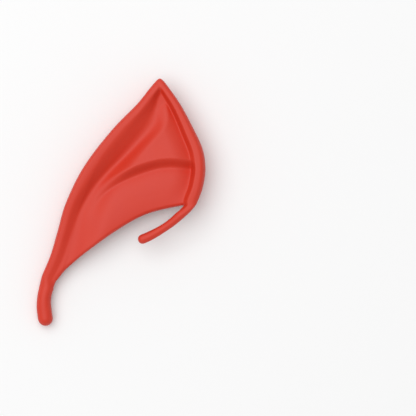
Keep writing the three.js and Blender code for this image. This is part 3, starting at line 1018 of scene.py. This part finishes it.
@dataclass
class EarTip:
    """The whole ear tip: shell and both tails in one moulding."""

    shell: EarShell = field(default_factory=EarShell)
    rounding_levels: int = 1
    texture_depth: float = 0.05
    texture_fineness: float = 420.0
    seed: float = 7.0
    # Strength and smoothing of the crest mask for the painted highlight.
    painted_highlight_gain: float = 1.0
    painted_highlight_passes: int = 6
    least_edge: float = 1e-6

    def tails(self) -> list[Tail]:
        """Both tails, each with the mouth's columns that run on into it."""
        front_end = len(self.shell.rim_steps) + len(self.shell.drop_steps)
        front_columns = 2 * front_end + self.shell.middle_columns[Wall.FRONT]
        return [
            Tail(
                "back_tail",
                BACK_TAIL,
                first=-3,
                last=9,
                angles=(300, 262, 222, 180, 165, 138, 108, 90, 78, 64, 50, 34, 4),
                corner=1.0,
                corner_heading=(-0.54, -0.84),
            ),
            Tail(
                "front_tail",
                FRONT_TAIL,
                first=front_columns - 8,
                last=front_columns + 2,
                angles=(205, 184, 166, 148, 130, 95, 60, 30, 0, -22, -48),
                corner=0.0,
                corner_heading=(-0.62, -0.78),
            ),
        ]

    def cage(self) -> bpy.types.Mesh:
        """Builds the skin's mesh before it is rounded."""
        skin = SkinMesh()
        rows = self.shell.build(skin)
        in_tail: set[int] = set()
        for tail in self.tails():
            in_tail |= tail.build(skin, self.shell, rows)
            LOG.info("%s joined to the mouth", tail.name)
        outer, inner = self.shell.first_rows[Face.OUTER], self.shell.first_rows[Face.INNER]
        count = len(outer)
        for k in range(count):
            if k not in in_tail:
                after = (k + 1) % count
                skin.faces.append((outer[after], outer[k], inner[k], inner[after]))
        return skin.mesh("ear_tip_cage")

    def paint_crest_highlights(self, mesh: bpy.types.Mesh) -> None:
        """Stores how far each point of the skin stands over its neighbourhood, as the mask of the painted
        highlight that makes crests paler.

        Args:
            mesh: The finished mesh.
        """
        mesh.attributes.new("crest", "FLOAT", "POINT")
        work = bmesh.new()
        work.from_mesh(mesh)
        work.verts.ensure_lookup_table()
        bend = np.zeros(len(work.verts))
        for vert in work.verts:
            links = vert.link_edges
            middle = sum((edge.other_vert(vert).co for edge in links), Vector()) / len(links)
            reach = sum(edge.calc_length() for edge in links) / len(links)
            bend[vert.index] = (vert.co - middle).dot(vert.normal) / max(reach, self.least_edge) ** 2 * MM
        work.free()
        ends = np.array([edge.vertices[:] for edge in mesh.edges])
        for _ in range(self.painted_highlight_passes):
            total, number = bend.copy(), np.ones(len(bend))
            np.add.at(total, ends[:, 0], bend[ends[:, 1]])
            np.add.at(total, ends[:, 1], bend[ends[:, 0]])
            np.add.at(number, ends[:, 0], 1)
            np.add.at(number, ends[:, 1], 1)
            bend = total / number
        mesh.attributes["crest"].data.foreach_set("value", np.clip(bend * self.painted_highlight_gain, 0.0, 1.0))

    def build(self, latex: bpy.types.Material) -> bpy.types.Object:
        """Builds the ear tip and gives it its latex.

        Args:
            latex: The material.

        Returns:
            The finished piece.
        """
        obj = bpy.data.objects.new("ear_tip_skin", self.cage())
        bpy.context.scene.collection.objects.link(obj)
        values = {
            "Rounding Levels": self.rounding_levels,
            "Texture Depth": self.texture_depth * MM,
            "Texture Fineness": self.texture_fineness,
            "Seed": self.seed,
            "Latex": latex,
        }
        obj.data = SkinTree().apply(obj, values)
        # Painted highlight: the crest attribute makes convex crests paler in the latex.
        self.paint_crest_highlights(obj.data)
        LOG.info("ear tip: %d faces", len(obj.data.polygons))
        return obj

    def dress(self, obj: bpy.types.Object) -> None:
        """Hides the part that the piece stands for and attaches the piece to its body."""
        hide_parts(NODE)
        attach(obj, BODY)


@dataclass
class Studio:
    """Floor, soft light and the camera that looks straight down.

    The target, the frame's width and the camera's distance are in millimetres, the rest in metres and watts.
    """

    target: tuple[float, float, float] = (38.4, -2.5, 9.0)
    frame_width: float = 183.0
    distance: float = 1600.0
    sensor: float = 36.0
    farthest: float = 20.0
    floor_half: float = 2.5
    softbox_size: float = 2.4
    softbox_place: tuple[float, float, float] = (-0.45, 0.4, 1.7)
    softbox_power: float = 27.5
    world_strength: float = 0.50

    def build(self) -> None:
        """Builds the floor, the lights and the camera."""
        bpy.context.scene.view_settings.view_transform = "Standard"
        self.floor()
        self.lights()
        self.camera()

    def floor(self) -> None:
        """Makes the pale floor."""
        mesh = bpy.data.meshes.new("floor")
        half = self.floor_half
        corners = [(-half, -half, 0), (half, -half, 0), (half, half, 0), (-half, half, 0)]
        mesh.from_pydata(corners, [], [(0, 1, 2, 3)])
        mesh.materials.append(FloorFinish().material())
        floor = bpy.data.objects.new("floor", mesh)
        bpy.context.scene.collection.objects.link(floor)

    def lights(self) -> None:
        """Makes the softbox over the camera and the even light all round."""
        world = bpy.data.worlds.new("studio")
        world.use_nodes = True
        background = world.node_tree.nodes["Background"]
        background.inputs["Color"].default_value = (1.0, 1.0, 1.0, 1.0)
        background.inputs["Strength"].default_value = self.world_strength
        bpy.context.scene.world = world
        data = bpy.data.lights.new("softbox", "AREA")
        data.shape = "DISK"
        data.size = self.softbox_size
        data.energy = self.softbox_power
        softbox = bpy.data.objects.new("softbox", data)
        softbox.location = self.softbox_place
        softbox.rotation_euler = Vector(self.softbox_place).to_track_quat("Z", "Y").to_euler()
        bpy.context.scene.collection.objects.link(softbox)

    def camera(self) -> None:
        """Makes the camera, straight above, with the photograph's framing."""
        data = bpy.data.cameras.new("camera")
        data.sensor_width = self.sensor
        data.lens = self.sensor * self.distance / self.frame_width
        data.clip_end = self.farthest
        camera = bpy.data.objects.new("camera", data)
        camera.location = Vector(self.target) * MM + Vector((0.0, 0.0, self.distance * MM))
        bpy.context.scene.collection.objects.link(camera)
        bpy.context.scene.camera = camera


def main() -> None:
    """Builds the scene."""
    logging.basicConfig(level=logging.INFO, format="%(name)s: %(message)s")
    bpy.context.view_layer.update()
    Studio().build()
    ear_tip = EarTip()
    piece = ear_tip.build(LatexFinish().material())
    ear_tip.dress(piece)
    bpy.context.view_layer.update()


if __name__ == "__main__":
    main()
